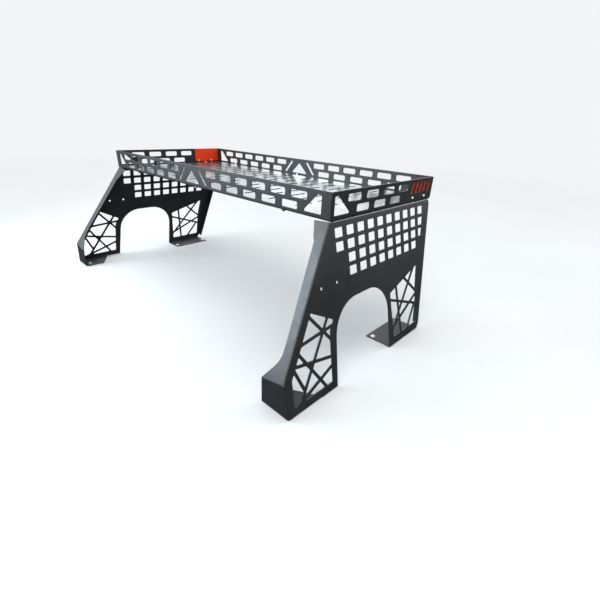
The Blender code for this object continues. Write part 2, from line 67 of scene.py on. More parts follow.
# ---- side panel, measured along Y and down the slope from the tray --------------------------
REAR_TOP_Y = -TRAY_DEPTH / 2
FRONT_TOP_Y = TRAY_DEPTH / 2
REAR_FOOT_Y = -0.500
FRONT_FOOT_Y = 0.165
KNEE_DROP = 0.347
REAR_LEG_END = -0.307
REAR_FOOT_END = -0.376
REAR_FOOT_CHAMFER = -0.422
FRONT_LEG_START = -0.030
ARCH_TOP_DROP = 0.214
ARCH_TOP_Y = (-0.281, -0.026)
ARCH_RADIUS = 0.100
TOP_FLANGE = 0.040
FOOT_FLANGE = 0.097
FRONT_FLANGE = 0.022
SLOPE_WIDTHS = ((-0.0085, 0.055), (0.036, 0.042), (0.051, 0.035), (0.310, 0.030))
SLOPE_WIDTHS += ((0.345, 0.031), (0.362, 0.037), (0.376, 0.047))
REAR_FOOT_TIP = 0.012
LEG_BOTTOM = 0.0015
KNEE_GAP = 0.0016
KNEE_FLANGE_END = 0.026
TOP_BEND = (-0.261, 0.263)
SLOPE_BEND_START = -0.010
KNEE_BEND_END = 0.096
REAR_FOOT_BEND = (-0.490, REAR_FOOT_END)
FRONT_FOOT_BEND = (FRONT_LEG_START + 0.002, 0.156)
FRONT_BEND = (0.014, 0.440)
GRID_HOLE = (0.033, 0.025)
GRID_PITCH = (0.0491, 0.0364)
GRID_START = (-0.241, 0.0304)
GRID_ROWS = ((0, 10), (0, 10), (1, 10), (1, 9))
SMALL_HOLES_Y = (-0.330, -0.267)
SMALL_HOLE_DROP = 0.156
SMALL_HOLE_RADIUS = 0.0045

# ---- lattice windows: their corners, and the two ends of each bar ---------------------------
BAR_WIDTH = 0.009
CELL_AREA = 6e-5
CELL_CORNER = 0.002
REAR_WINDOW = (
    (-0.379, 0.205),
    (-0.297, 0.250),
    (-0.312, 0.272),
    (-0.317, 0.301),
    (-0.325, 0.422),
    (-0.474, 0.422),
    (-0.470, 0.348),
)
REAR_BARS = (
    ((-0.395, 0.202), (-0.306, 0.309)),
    ((-0.313, 0.225), (-0.455, 0.431)),
    ((-0.435, 0.274), (-0.290, 0.263)),
    ((-0.450, 0.272), (-0.342, 0.437)),
    ((-0.475, 0.315), (-0.300, 0.352)),
    ((-0.466, 0.309), (-0.431, 0.395)),
    ((-0.455, 0.422), (-0.305, 0.369)),
)
FRONT_WINDOW = ((-0.012, 0.263), (0.165, 0.211), (0.152, 0.290), (0.150, 0.415), (-0.002, 0.417))
FRONT_BARS = (
    ((0.025, 0.240), (0.047, 0.425)),
    ((0.153, 0.203), (-0.015, 0.400)),
    ((-0.020, 0.283), (0.165, 0.352)),
    ((0.066, 0.224), (0.168, 0.314)),
    ((0.160, 0.308), (-0.012, 0.387)),
    ((0.148, 0.336), (0.085, 0.421)),
)

# ---- tray, each row of slots given by its first slot, its pitch, its count and its height --------
RAIL_FLANGE = 0.026
LONG_FLANGE_INSET = 0.010
SIDE_FLANGE_INSET = 0.004
SLOT = (0.060, 0.020)
SLOT_RADIUS = 0.006
UPPER_ROW = 0.051
LOWER_ROW = 0.0205
LONG_SLOTS = ((0.115, 0.081, 6, UPPER_ROW), (0.144, 0.0855, 5, LOWER_ROW))
SIDE_SLOTS = ((-0.175, 0.084, 4, UPPER_ROW), (-0.133, 0.084, 3, LOWER_ROW))
CUT_LOW = 0.012
CUT_HIGH = 0.060
END_CUT = ((0.535, 0.599), (0.584, 0.599))
INNER_CUT = ((0.079, 0.092), (0.038, 0.051))
SIDE_CUT = ((-0.259, -0.191), (-0.259, -0.244))
MIDDLE_CUT = (0.047, 0.055)
FLOOR_SLOT = (0.014, 0.065)
FLOOR_SLOT_RADIUS = 0.0055
FLOOR_PITCH = (0.058, 0.095)
FLOOR_COLUMNS = 9
FLOOR_ROWS = 2
BADGE_SIZE = (0.141, 0.061)
BADGE_CENTRE = (0.1975, 0.0405)
BADGE_BARS = (0.140, 0.027, 5)
BADGE_BAR_HEIGHTS = (0.029, 0.063)
BADGE_BAR_LEAN = 0.005
BADGE_BAR_HALF = 0.007
BADGE_BAR_CORNER = 0.002

# ---- fasteners: radius and pitch of the thread, widths of the head, its socket and the nut -----
M6 = {"radius": 0.0030, "pitch": 0.00100, "head": 0.0105, "rise": 0.0033, "socket": 0.004, "nut": 0.010}
M8 = {"radius": 0.0040, "pitch": 0.00125, "head": 0.0140, "rise": 0.0044, "socket": 0.005}
THREAD_LENGTH = 0.016
THREAD_DEPTH = 0.55
THREAD_CREST = (0.40, 0.60)
PLAIN_SHANK = 0.001
POINT_TAPER = 0.0009
CHAMFER = 0.0004
DOME_FLAT = 0.55
SOCKET_DEPTH = 0.6
NUT_HEIGHT = 0.0055
NUT_FACE = 0.95
NUT_CONE = radians(30)
WASHER_ROLL = 0.0004
WASHER_THICKNESS = 0.0016
WASHER_RADIUS = 0.0085
BOLT_INSET = 0.015
FOOT_BOLT_INSET = 0.076
FOOT_BOLTS_Y = {"rear": (-0.478,), "front": (-0.017, 0.140)}
SIDE_BOLTS_Y = (-0.180, 0.0, 0.180)
RAIL_BOLTS_X = (-0.450, 0.0, 0.450)
BADGE_BOLTS = ((0.143, 0.0131), (0.220, 0.0131))
SPIN_STEP = 47

# ---- weld seam at the knee ----------------------------------------------------------------------
KNEE_RADIUS = 0.008
WELD_SPREAD = 1.15
WELD_PITCH = 0.0011
WELD_RIPPLE = 0.00012

# ---- fineness ---------------------------------------------------------------------------------
SHEET_EDGE = 0.0004
BROKEN_EDGE = 0.00016
STRAIGHT = radians(88)
CORNER_REACH = 0.48
CORNER_STEPS = 5
CELL_STEPS = 3
ARCH_STEPS = 20
BEND_STEPS = 6
HOLE_SIDES = 32
DOME_STEPS = 6
KNEE_STEPS = 8
FASTENER_SIDES = 48
FASTENER_CREASE = radians(32)
WELD_CREASE = radians(40)

BEND_OUTER = BEND_INNER + SHEET
BEND_MIDDLE = BEND_INNER + SHEET / 2
TRAY_BASE = SIDE_SLANT * cos(SIDE_LEAN)
FOOT_HALF_WIDTH = TRAY_WIDTH / 2 + SIDE_SLANT * sin(SIDE_LEAN)
FLOOR_BASE = TRAY_BASE + GAP + SHEET + GAP
HALF_TURN = Matrix.Rotation(pi, 4, "Z")
TO_FRAME = Matrix.Translation((0, TRAY_MIDDLE, 0))

# ---- paints: their deep, light, worn and dusty tones ------------------------------------------
BLACK = ((0.009, 0.0095, 0.010), (0.014, 0.0148, 0.0158), (0.14, 0.15, 0.16), (0.20, 0.19, 0.17))
ORANGE = ((0.62, 0.029, 0.003), (0.69, 0.040, 0.004), (0.80, 0.16, 0.05), (0.45, 0.24, 0.15))
ORANGE_IOR = 1.35
PAINT_IOR = 1.52
SPECK_SHARE = 0.12
WEAR_SHARE = 0.5
WEAR_RADIUS = 0.0012
PEEL_DEPTH = 0.00006
WAVE_DEPTH = 0.0006
COAT_ROUGHNESS = 0.15

# ---- noise patterns: features per metre, detail, and for some a roughness and a stretch -----------
CLOUDS = (5.0, 4.0)
SPECKS = (1500.0, 1.0)
RUBBING = (55.0, 3.0)
DUST = (14.0, 5.0, 0.6)
SHEEN = (38.0, 3.0)
PEEL = (620.0, 2.0)
WAVES = (16.0, 1.0)
BLOOM = (260.0, 3.0)
SCRATCHES = (900.0, 4.0, 0.6, (1, 9, 1))
TARNISH = (420.0, 2.0)
GRIME = (700.0, 3.0)
MOTTLE = (1.2, 5.0)
GRAIN = (240.0, 3.0)

# ---- zinc and the studio floor ------------------------------------------------------------------
ZINC_TONES = ((0.60, 0.62, 0.66, 1), (0.72, 0.70, 0.64, 1))
ZINC_GRIME = (0.16, 0.15, 0.14, 1)
GRIME_SHARE = 0.35
SCRATCH_DEPTH = 0.00002
FLOOR_TONES = ((0.430, 0.430, 0.430, 1), (0.455, 0.454, 0.453, 1))
FLOOR_GRAIN = 0.0003

# ---- the sockets of a Mix node that carry colours -------------------------------------------------
MIX_COLOUR_A = 6
MIX_COLOUR_B = 7
MIX_COLOUR_RESULT = 2

# ---- camera, and the studio: a glow is a direction, two half-angles in degrees and a strength ----
CAMERA_PLACE = (1.1723, -0.8481, 0.6529)
CAMERA_TURN = (radians(63.467), radians(-2.327), radians(43.695))
SENSOR = 36.0
LENS = 21.32
LIT_CENTRE = (0, 0, 0.3)
RIGHT_FLANGE = (0.66, -0.27, 0.27)
FLOOR_SIZE = 60.0
FLOOR_FADE = (2.2, 7.0)
BACKDROP = (0.90, 0.905, 0.915, 1)
SKY_TINT = (0.93, 0.97, 1.0, 1)
BLUE_SKY = (0.76, 0.90, 1.0)
SKY_HEIGHTS = (0.45, 1.0)
SKY_STRENGTHS = (0.30, 2.6)
GROUND_LINE = (-0.02, 0.10)
GROUND_SHARE = 0.2
REAR_LEFT = ((-0.75, -0.52, 0.35), 12, 45, 0.8)
FRONT_LEFT = ((-0.80, 0.57, 0.22), 14, 34, 1.1)
FRONT = ((-0.62, 0.74, 0.27), 5, 16, 1.5)
FRONT_RIGHT = ((0.38, 0.80, 0.46), 5, 22, 8.0)
SKY_GLOWS = (REAR_LEFT, FRONT_LEFT, FRONT, FRONT_RIGHT)


# ---- outlines -----------------------------------------------------------------------------------
def rounded(corners, radius, steps=CORNER_STEPS):
    """The closed outline through the corners, each turned into an arc.

    A corner may carry its own radius as a third value.
    """
    outline = []
    count = len(corners)
    for i, corner in enumerate(corners):
        here = Vector(corner[:2])
        before = Vector(corners[i - 1][:2]) - here
        after = Vector(corners[(i + 1) % count][:2]) - here
        bend = radius if len(corner) == 2 else corner[2]
        half = before.angle(after) / 2
        if bend == 0 or half > STRAIGHT:
            outline.append(here)
            continue
        reach = min(bend / tan(half), before.length * CORNER_REACH, after.length * CORNER_REACH)
        size = reach * tan(half)
        centre = here + (before.normalized() + after.normalized()).normalized() * size / sin(half)
        first = here + before.normalized() * reach - centre
        last = here + after.normalized() * reach - centre
        turn = first.angle_signed(last)
        outline += [centre + Matrix.Rotation(-turn * k / steps, 2) @ first for k in range(steps + 1)]
    return outline


def rectangle(centre, size, radius, steps=CORNER_STEPS):
    (u, v), (w, h) = centre, size
    corners = [(u + a * w / 2, v + b * h / 2) for a, b in ((-1, -1), (1, -1), (1, 1), (-1, 1))]
    return rounded(corners, radius, steps)


def circle(centre, radius):
    turns = [2 * pi * k / HOLE_SIDES for k in range(HOLE_SIDES)]
    return [Vector((centre[0] + radius * cos(t), centre[1] + radius * sin(t))) for t in turns]


def mirrored_outline(outline):
    return [Vector((-p[0], p[1])) for p in reversed(outline)]


def split(cell, point, along, offset):
    """The part of a polygon that lies more than offset to the left of a line."""
    left = Vector((-along[1], along[0]))
    kept = []
    for i, b in enumerate(cell):
        a = cell[i - 1]
        da = (a - point).dot(left) - offset
        db = (b - point).dot(left) - offset
        if (da > 0) != (db > 0):
            kept.append(a.lerp(b, da / (da - db)))
        if db > 0:
            kept.append(b)
    return kept


def area(cell):
    return abs(sum(cell[i - 1].cross(p) for i, p in enumerate(cell))) / 2


def inset(cell, point, along):
    """How far along a line the polygon starts and ends, or None where the line misses it."""
    left = Vector((-along[1], along[0]))
    marks = []
    for i, b in enumerate(cell):
        a = cell[i - 1]
        da, db = (a - point).dot(left), (b - point).dot(left)
        if (da > 0) != (db > 0):
            marks.append((a.lerp(b, da / (da - db)) - point).dot(along))
    return (min(marks), max(marks)) if marks else None


def lattice(window, bars):
    """The openings left in a window once straight bars of BAR_WIDTH cross it."""
    cells = [[Vector(p) for p in window]]
    for start, end in bars:
        point = Vector(start)
        along = (Vector(end) - point).normalized()
        length = (Vector(end) - point).length
        parts = []
        for cell in cells:
            span = inset(cell, point, along)
            middle = sum(span) / 2 if span else -1
            if not 0 < middle < length:
                parts.append(cell)
                continue
            parts.append(split(cell, point, along, BAR_WIDTH / 2))
            parts.append(split(cell, point, -along, BAR_WIDTH / 2))
        cells = [cell for cell in parts if len(cell) > 2 and area(cell) > CELL_AREA]
    return [rounded(cell, CELL_CORNER, CELL_STEPS) for cell in cells]


# ---- bent sheet -----------------------------------------------------------------------------------
class Bend:
    """A flange folded inwards along a straight outer edge of a plate.

    apex and along give the edge where the outer faces would meet, out points away from the plate,
    angle is how far the flange turns, and start and end bound it along the edge.
    """

    def __init__(self, apex, along, out, angle, start, end):
        self.along = Vector(along).normalized()
        self.out = Vector(out).normalized()
        self.angle = angle
        self.start = start
        self.end = end
        self.setback = BEND_OUTER * tan(angle / 2)
        self.arc = angle * BEND_MIDDLE
        self.root = Vector(apex) - self.out * self.setback

    def flat(self, a, width=None):
        """A point of the flat pattern: on the bend line, or where a flange of this width ends."""
        reach = 0 if width is None else width - self.setback + self.arc
        return self.root + self.along * a + self.out * reach

    def holds(self, co):
        """Whether a point of the flat pattern lies on this flange, past its bend line."""
        a = (co.xy - self.root).dot(self.along)
        d = (co.xy - self.root).dot(self.out)
        slack = 10 * TOLERANCE
        return d > TOLERANCE and self.start - slack < a < self.end + slack

    def folded(self, co):
        """Where a point of the flat pattern goes once the flange is turned."""
        a = (co.xy - self.root).dot(self.along)
        d = (co.xy - self.root).dot(self.out)
        turn = min(d / BEND_MIDDLE, self.angle)
        spare = max(0.0, d - self.arc)
        ring = BEND_OUTER + co.z
        out = ring * sin(turn) + spare * cos(turn)
        depth = -BEND_OUTER + ring * cos(turn) - spare * sin(turn)
        place = self.root + self.along * a + self.out * out
        return Vector((place[0], place[1], depth))


def plate(outline, holes):
    """A flat sheet with rounded edges from 2D outlines, its outer face at z = 0 and its body below."""
    curve = bpy.data.curves.new("outline", "CURVE")
    curve.dimensions = "2D"
    curve.fill_mode = "BOTH"
    curve.extrude = SHEET / 2 - SHEET_EDGE
    curve.bevel_depth = SHEET_EDGE
    curve.bevel_resolution = 1
    curve.offset = -SHEET_EDGE
    for loop in [outline, *holes]:
        spline = curve.splines.new("POLY")
        spline.points.add(len(loop) - 1)
        for point, (u, v) in zip(spline.points, loop):
            point.co = (u, v, 0, 1)
        spline.use_cyclic_u = True
    drawn = bpy.data.objects.new("outline", curve)
    bpy.context.scene.collection.objects.link(drawn)
    solid = drawn.evaluated_get(bpy.context.evaluated_depsgraph_get())
    mesh = bpy.data.meshes.new_from_object(solid)
    bpy.data.objects.remove(drawn)
    bpy.data.curves.remove(curve)
    bm = bmesh.new()
    bm.from_mesh(mesh)
    bpy.data.meshes.remove(mesh)
    bmesh.ops.remove_doubles(bm, verts=bm.verts, dist=TOLERANCE)
    bmesh.ops.translate(bm, verts=bm.verts, vec=(0, 0, -SHEET / 2))
    return bm


def bent_sheet(outline, holes, bends):
    """A flat pattern cut from sheet, then folded along each of its bends."""
    bm = plate(outline, holes)
    for bend in bends:
        for k in range(BEND_STEPS + 1):
            faces = [f for f in bm.faces if any(bend.holds(v.co) for v in f.verts)]
            edges = {e for f in faces for e in f.edges}
            verts = {v for f in faces for v in f.verts}
            cut = bend.root + bend.out * bend.arc * k / BEND_STEPS
            bmesh.ops.bisect_plane(
                bm,
                geom=[*verts, *edges, *faces],
                dist=TOLERANCE / 10,
                plane_co=cut.to_3d(),
                plane_no=bend.out.to_3d(),
            )
    moves = [(v, bend.folded(v.co)) for v in bm.verts for bend in bends if bend.holds(v.co)]
    for vert, place in moves:
        vert.co = place
    return bm


def mirrored(bm):
    """The other-handed twin of a sheet, its length axis reversed."""
    twin = bm.copy()
    for vert in twin.verts:
        vert.co.x = -vert.co.x
    bmesh.ops.reverse_faces(twin, faces=twin.faces)
    return twin


# ---- pieces ---------------------------------------------------------------------------------------
def turn_outwards(bm):
    """Turns every face of a closed mesh outwards."""
    bmesh.ops.recalc_face_normals(bm, faces=bm.faces)
    if bm.calc_volume(signed=True) < 0:
        bmesh.ops.reverse_faces(bm, faces=bm.faces)


def piece(name, mesh, finish, place, *nodes):
    """One shown object that rides on the rack and stands for the CAD nodes named."""
    made = bpy.data.objects.new(name, mesh)
    made.matrix_world = place
    bpy.context.scene.collection.objects.link(made)
    if not mesh.materials:
        mesh.materials.append(finish.material)
    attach(made, "root")
    if nodes:
        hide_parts(*nodes)
    return made


def sheet_piece(node, bm, finish, place):
    """A sheet in place of its CAD node, shaded flat on its faces and smooth over its edges."""
    bm.transform(TO_FRAME @ place)
    turn_outwards(bm)
    mesh = bpy.data.meshes.new(node + "_sheet")
    bm.to_mesh(mesh)
    mesh.shade_smooth()
    made = piece(node + "_sheet", mesh, finish, Matrix.Identity(4), node)
    weighted = made.modifiers.new("flat_faces", "WEIGHTED_NORMAL")
    weighted.mode = "FACE_AREA"
    weighted.weight = 90
    return made


def placement(origin, u_axis, v_axis):
    """The matrix that stands a sheet's own u, v and outward axes in the rack's frame."""
    u, v = Vector(u_axis), Vector(v_axis)
    axes = Matrix((u, v, u.cross(v))).transposed()
    return Matrix.Translation(origin) @ axes.to_4x4()


RIGHT_PANEL = placement((FOOT_HALF_WIDTH, 0, 0), (0, 1, 0), (-sin(SIDE_LEAN), 0, cos(SIDE_LEAN)))


# ---- side panels ----------------------------------------------------------------------------------
def drop(y, distance):
    """A point of the side panel at y, this far down the slope from the tray."""
    return Vector((y, SIDE_SLANT - distance))


def side_bends():
    rear_edge = drop(REAR_FOOT_Y, KNEE_DROP) - drop(REAR_TOP_Y, 0)
    front_edge = drop(FRONT_FOOT_Y, SIDE_SLANT) - drop(FRONT_TOP_Y, 0)
    rear_out = (rear_edge.y, -rear_edge.x)
    front_out = (-front_edge.y, front_edge.x)
    slope_end = rear_edge.length - KNEE_GAP
    down = Vector((0, -1))
    foot_turn = pi / 2 + SIDE_LEAN
    bottom = drop(0, SIDE_SLANT)
    return {
        "top": Bend(drop(0, 0), (1, 0), (0, 1), pi / 2 - SIDE_LEAN, *TOP_BEND),
        "slope": Bend(drop(REAR_TOP_Y, 0), rear_edge, rear_out, pi / 2, SLOPE_BEND_START, slope_end),
        "knee": Bend(drop(REAR_FOOT_Y, KNEE_DROP), down, (-1, 0), pi / 2, KNEE_GAP, KNEE_BEND_END),
        "rear_foot": Bend(bottom, (1, 0), down, foot_turn, *REAR_FOOT_BEND),
        "front_foot": Bend(bottom, (1, 0), down, foot_turn, *FRONT_FOOT_BEND),
        "front": Bend(drop(FRONT_TOP_Y, 0), front_edge, front_out, pi / 2, *FRONT_BEND),
    }


def flange(bend, widths):
    """The flat pattern of one flange: its two ends on the bend line and its free edge between them."""
    free = [bend.flat(a, width) for a, width in widths]
    return [bend.flat(widths[0][0]), *free, bend.flat(widths[-1][0])]


def side_outline(bends):
    """The flat pattern's outer edge, from the top flange round by the rear leg to the front edge."""
    top, slope, knee = bends["top"], bends["slope"], bends["knee"]
    rear_foot, front_foot, front = bends["rear_foot"], bends["front_foot"], bends["front"]
    knee_top = KNEE_DROP * tan(SIDE_LEAN)
    knee_end = (SIDE_SLANT - KNEE_FLANGE_END) * tan(SIDE_LEAN)
    points = flange(top, ((top.end, TOP_FLANGE), (top.start, TOP_FLANGE)))
    points.append(Vector((top.start - RELIEF / 2, top.root.y - RELIEF)))
    points.append(Vector((top.start - 5 * RELIEF, SIDE_SLANT - GAP)))
    points.append(slope.flat(0))
    points.append(slope.flat(-RELIEF / 2, BEND_OUTER))
    points += flange(slope, (*SLOPE_WIDTHS, (slope.end, knee_top)))[1:]
    points.append(knee.flat(0) + Vector((KNEE_GAP, 0)))
    foot_rise = knee_end * tan(SIDE_LEAN)
    knee_widths = ((knee.start, knee_top), (knee.end - foot_rise, knee_end), (knee.end, 0))
    points += flange(knee, knee_widths)[:-1]
    points.append(Vector((rear_foot.start - 1.5 * RELIEF, rear_foot.root.y + RELIEF)))
    points.append(rear_foot.flat(rear_foot.start))
    points.append(rear_foot.flat(rear_foot.start, FOOT_FLANGE))
    points.append(rear_foot.flat(REAR_FOOT_CHAMFER, FOOT_FLANGE))
    points.append(rear_foot.flat(rear_foot.end, REAR_FOOT_TIP))
    points.append(rear_foot.flat(rear_foot.end))
    points.append(Vector((REAR_FOOT_END + 2 * RELIEF, LEG_BOTTOM)))
    points.append(Vector((REAR_LEG_END, LEG_BOTTOM)))
    points += arch()
    points.append(Vector((FRONT_LEG_START, LEG_BOTTOM)))
    points.append(front_foot.flat(front_foot.start) - Vector((RELIEF, 0)))
    points += flange(front_foot, ((front_foot.start, FOOT_FLANGE), (front_foot.end, FOOT_FLANGE)))
    points.append(front.flat(front.end + 2 * RELIEF))
    points += flange(front, ((front.end, FRONT_FLANGE), (front.start, FRONT_FLANGE)))
    points.append(Vector((top.end + RELIEF, top.root.y - 4 * RELIEF)))
    return points


def arch():
    """The wheel-arch shaped opening between the legs, from the rear leg's foot to the front leg's."""
    corners = [
        (REAR_LEG_END, LEG_BOTTOM, 0),
        (ARCH_TOP_Y[0], SIDE_SLANT - ARCH_TOP_DROP, ARCH_RADIUS),
        (ARCH_TOP_Y[1], SIDE_SLANT - ARCH_TOP_DROP, ARCH_RADIUS),
        (FRONT_LEG_START, LEG_BOTTOM, 0),
    ]
    return rounded(corners, ARCH_RADIUS, ARCH_STEPS)[1:-1]


def grid_holes():
    holes = []
    for row, (first, last) in enumerate(GRID_ROWS):
        for column in range(first, last):
            y = GRID_START[0] + column * GRID_PITCH[0]
            centre = drop(y, GRID_START[1] + row * GRID_PITCH[1])
            holes.append(rectangle(centre, GRID_HOLE, CUT_CORNER))
    return holes


def leg_windows():
    """The two lattice windows: a seven-sided one in the rear leg, a five-sided one in the front leg."""
    windows = []
    for corners, bars in ((REAR_WINDOW, REAR_BARS), (FRONT_WINDOW, FRONT_BARS)):
        ends = [(drop(*start), drop(*end)) for start, end in bars]
        windows += lattice([drop(*corner) for corner in corners], ends)
    return windows


def side_holes(bends):
    holes = grid_holes() + leg_windows()
    holes += [circle(drop(y, SMALL_HOLE_DROP), SMALL_HOLE_RADIUS) for y in SMALL_HOLES_Y]
    holes += [circle(bends["top"].flat(y, BOLT_INSET), M6["radius"] + GAP) for y in SIDE_BOLTS_Y]
    for leg, places in FOOT_BOLTS_Y.items():
        bend = bends[leg + "_foot"]
        holes += [circle(bend.flat(y, FOOT_BOLT_INSET), M8["radius"] + GAP) for y in places]
    return holes


def side_panels(finish):
    bends = side_bends()
    right = bent_sheet(side_outline(bends), side_holes(bends), list(bends.values()))
    left = mirrored(right)
    sheet_piece("right_side_panel", right, finish, RIGHT_PANEL)
    sheet_piece("left_side_panel", left, finish, HALF_TURN @ RIGHT_PANEL)


# ---- tray -----------------------------------------------------------------------------------------
def slots(rows):
    """The slots of LONG_SLOTS or SIDE_SLOTS."""
    holes = []
    for first, pitch, count, height in rows:
        holes += [rectangle((first + pitch * k, height), SLOT, SLOT_RADIUS) for k in range(count)]
    return holes


def slanted_cut(low, high):
    """A four-sided opening over the height of both rows, from the ends of its lower and upper edge."""
    corners = [(low[0], CUT_LOW), (low[1], CUT_LOW), (high[1], CUT_HIGH), (high[0], CUT_HIGH)]
    return rounded(corners, CUT_CORNER)


def long_rail_holes():
    """Half the pattern of a long rail, its mirror image, and the triangle between them."""
    half = slots(LONG_SLOTS)
    half.append(slanted_cut(*END_CUT))
    half.append(slanted_cut(*INNER_CUT))
    reach, peak = MIDDLE_CUT
    middle = rounded([(-reach, CUT_LOW), (reach, CUT_LOW), (0, peak)], CUT_CORNER)
    return half + [mirrored_outline(loop) for loop in half] + [middle]


def side_rail_holes():
    holes = slots(SIDE_SLOTS)
    holes.append(slanted_cut(*SIDE_CUT))
    first, pitch, count = BADGE_BARS
    holes += [badge_bar(first + pitch * k) for k in range(count)]
    holes += [circle(place, M6["radius"] + GAP) for place in BADGE_BOLTS]
    return holes


def badge_bar(y):
    """One plain slanted bar of the window that shows the coloured plate."""
    low, high = BADGE_BAR_HEIGHTS
    foot, head = y - BADGE_BAR_LEAN, y + BADGE_BAR_LEAN
    corners = [(foot - BADGE_BAR_HALF, low), (foot + BADGE_BAR_HALF, low)]
    corners += [(head + BADGE_BAR_HALF, high), (head - BADGE_BAR_HALF, high)]
    return rounded(corners, BADGE_BAR_CORNER)


def rail(length, flange_end, holes, bolts):
    """An upright strip with a flange folded inwards along its foot, under the tray floor."""
    foot = Bend((0, 0), (1, 0), (0, -1), pi / 2, -flange_end, flange_end)
    end = length / 2
    corners = [(end, RAIL_HEIGHT, CUT_CORNER), (-end, RAIL_HEIGHT, CUT_CORNER), (-end, GAP, 0)]
    corners += [(-flange_end - 2 * RELIEF, GAP, 0), (-flange_end - RELIEF, foot.root.y, 0)]
    corners += [(*p, 0) for p in flange(foot, ((-flange_end, RAIL_FLANGE), (flange_end, RAIL_FLANGE)))]
    corners += [(flange_end + RELIEF, foot.root.y, 0), (flange_end + 2 * RELIEF, GAP, 0), (end, GAP, 0)]
    bores = [circle(foot.flat(u, BOLT_INSET), M6["radius"] + GAP) for u in bolts]
    return bent_sheet(rounded(corners, 0), holes + bores, [foot])


def rails(finish):
    base = TRAY_BASE + GAP
    long_end = TRAY_WIDTH / 2 - LONG_FLANGE_INSET
    rear = rail(TRAY_WIDTH, long_end, long_rail_holes(), RAIL_BOLTS_X)
    front = rear.copy()
    rear_place = placement((0, -TRAY_DEPTH / 2, base), (1, 0, 0), (0, 0, 1))
    sheet_piece("rear_rail", rear, finish, rear_place)
    sheet_piece("front_rail", front, finish, HALF_TURN @ rear_place)
    side_length = TRAY_DEPTH - 2 * (SHEET + GAP)
    side_end = TRAY_DEPTH / 2 - RAIL_FLANGE - SIDE_FLANGE_INSET
    right = rail(side_length, side_end, side_rail_holes(), SIDE_BOLTS_Y)
    left = mirrored(right)
    right_place = placement((TRAY_WIDTH / 2, 0, base), (0, 1, 0), (0, 0, 1))
    sheet_piece("right_rail", right, finish, right_place)
    sheet_piece("left_rail", left, finish, HALF_TURN @ right_place)


def floor_holes():
    """Columns of lengthwise slots, each column set half a slot on from the last."""
    holes = []
    for column in range(-FLOOR_COLUMNS, FLOOR_COLUMNS + 1):
        odd = column % 2
        shift = odd * FLOOR_PITCH[1] / 2
        rows = range(-FLOOR_ROWS, FLOOR_ROWS + 1 - odd)
        centres = [(column * FLOOR_PITCH[0], row * FLOOR_PITCH[1] + shift) for row in rows]
        holes += [rectangle(centre, FLOOR_SLOT, FLOOR_SLOT_RADIUS) for centre in centres]
    return holes


def floor_bores():
    side_x = TRAY_WIDTH / 2 - BOLT_INSET
    rail_y = TRAY_DEPTH / 2 - BOLT_INSET
    places = [(s * side_x, y) for s in (-1, 1) for y in SIDE_BOLTS_Y]
    places += [(x, s * rail_y) for s in (-1, 1) for x in RAIL_BOLTS_X]
    return [circle(place, M6["radius"] + GAP) for place in places]


def tray_floor(finish):
    margin = BEND_OUTER + 2 * GAP
    size = (TRAY_WIDTH - 2 * margin, TRAY_DEPTH - 2 * margin)
    sheet = plate(rectangle((0, 0), size, PLATE_CORNER), floor_holes() + floor_bores())
    sheet_piece("tray_floor", sheet, finish, Matrix.Translation((0, 0, FLOOR_BASE + SHEET)))


def badge_plates(finish):
    """A plain coloured plate behind the slanted bars of each side rail."""
    holes = [circle(place, M6["radius"] + GAP) for place in BADGE_BOLTS]
    right = plate(rectangle(BADGE_CENTRE, BADGE_SIZE, PLATE_CORNER), holes)
    left = mirrored(right)
    inner_face = TRAY_WIDTH / 2 - SHEET - GAP
    place = placement((inner_face, 0, TRAY_BASE + GAP), (0, 1, 0), (0, 0, 1))
    sheet_piece("right_badge_plate", right, finish, place)
    sheet_piece("left_badge_plate", left, finish, HALF_TURN @ place)


# ---- weld seams -----------------------------------------------------------------------------------
def knee_section(swell):
    """The seam's cross-section: it rounds the corner from the sloped flange to the upright one."""
    bends = side_bends()
    sloped, upright = bends["slope"].out, bends["knee"].out
    half = sloped.angle(upright) / 2
    middle = (sloped + upright).normalized()
    centre = drop(REAR_FOOT_Y, KNEE_DROP) - middle * KNEE_RADIUS / cos(half)
    spread = half * WELD_SPREAD
    turns = [spread * (2 * k / KNEE_STEPS - 1) for k in range(KNEE_STEPS + 1)]
    outer = [centre + Matrix.Rotation(t, 2) @ middle * (KNEE_RADIUS + swell) for t in turns]
    inner = [centre + Matrix.Rotation(t, 2) @ middle * (KNEE_RADIUS - SHEET) for t in turns]
    return outer + inner[::-1]


def knee_welds(finish):
    """The dressed seam that closes the slit between the two rear flanges of each side panel."""
    first, last = BEND_OUTER, KNEE_DROP * tan(SIDE_LEAN) - GAP
    rings = round((last - first) / WELD_PITCH)
    bm = bmesh.new()
    loops = []
    for k in range(rings + 1):
        depth = first + (last - first) * k / rings
        section = knee_section(WELD_RIPPLE * (k % 2))
        loops.append([bm.verts.new((u, v, -depth)) for u, v in section])
    for near, far in zip(loops, loops[1:]):
        for i, corner in enumerate(near):
            after = (i + 1) % len(near)
            bm.faces.new((corner, near[after], far[after], far[i]))
    bm.faces.new(loops[0])
    bm.faces.new(loops[-1])
    left = mirrored(bm)
    seam_piece("right_knee_weld", bm, finish, RIGHT_PANEL)
    seam_piece("left_knee_weld", left, finish, HALF_TURN @ RIGHT_PANEL)


def seam_piece(name, bm, finish, place):
    """A weld seam, which stands for no CAD node."""
    bm.transform(TO_FRAME @ place)
    turn_outwards(bm)
    mesh = bpy.data.meshes.new(name)
    bm.to_mesh(mesh)
    mesh.shade_smooth()
    mesh.set_sharp_from_angle(angle=WELD_CREASE)
    piece(name, mesh, finish, Matrix.Identity(4))


